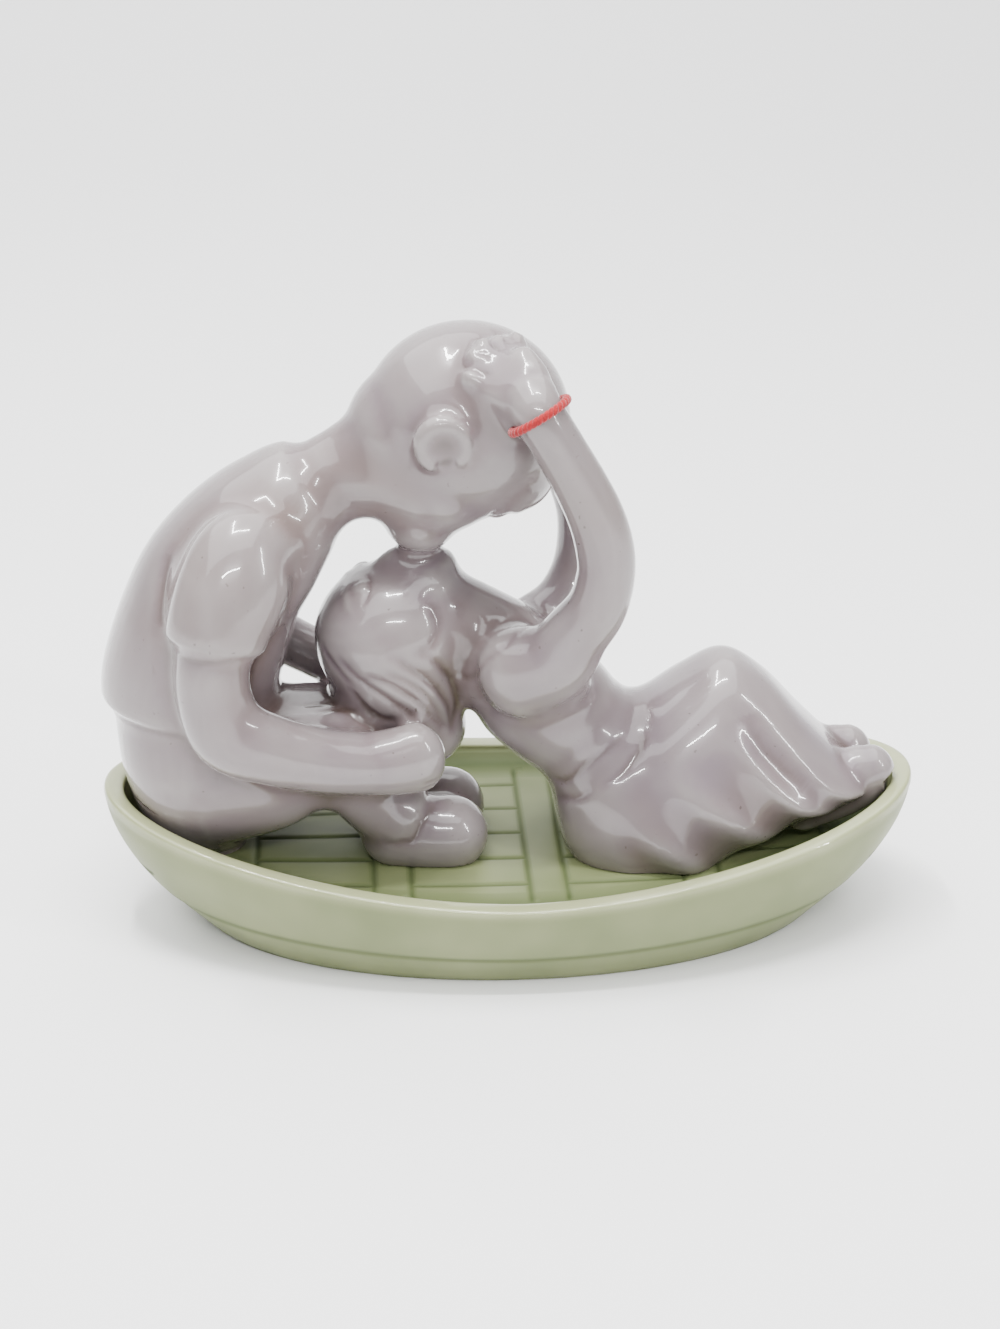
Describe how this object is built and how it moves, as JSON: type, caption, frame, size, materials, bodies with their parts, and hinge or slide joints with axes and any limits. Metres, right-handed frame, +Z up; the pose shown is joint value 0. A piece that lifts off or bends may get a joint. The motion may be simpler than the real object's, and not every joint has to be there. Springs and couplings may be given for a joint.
{
  "type": "courting couple figurine",
  "caption": "Glazed porcelain figurine of a seated man bending to kiss a reclining woman, set in a boat-shaped dish, with a red thread round her wrist.",
  "frame": {"origin": "middle of the dish's underside, on the surface it stands on", "axes": "+X along the dish from the man to the woman, +Y away from the viewer, +Z up"},
  "size_m": [0.2, 0.094, 0.1523],
  "materials": {
    "celadon_glaze": "glossy pale green celadon glaze on porcelain",
    "pale_glaze": "glossy pale grey-lilac glaze on porcelain",
    "red_thread": "matte twisted red thread"
  },
  "bodies": {
    "root": {"dish": "celadon_glaze", "couple": "pale_glaze", "wrist_cord": "red_thread"}
  },
  "joints": []
}
